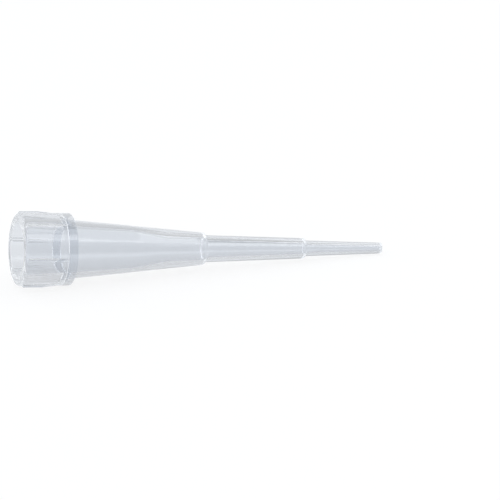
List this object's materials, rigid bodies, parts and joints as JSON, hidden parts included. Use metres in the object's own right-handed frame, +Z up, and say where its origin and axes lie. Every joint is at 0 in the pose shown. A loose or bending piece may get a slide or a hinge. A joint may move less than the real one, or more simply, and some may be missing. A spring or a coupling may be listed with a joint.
{
  "type": "pipette tip",
  "caption": "Clear stepped pipette tip lying on its side: a ribbed collar with a tapered seat at the wide end, a tapered barrel and a fine outlet.",
  "frame": {"origin": "on the surface that the tip lies on, under the middle of its box", "axes": "+X from the collar's rim to the outlet, along the surface; +Z up; the tip is symmetric about the XZ plane"},
  "size_m": [0.0316, 0.0064, 0.0063],
  "materials": {
    "polypropylene": "clear, faintly blue and slightly hazy natural polypropylene, smooth as moulded"
  },
  "bodies": {
    "root": {"pipette_tip": "polypropylene"}
  },
  "joints": []
}
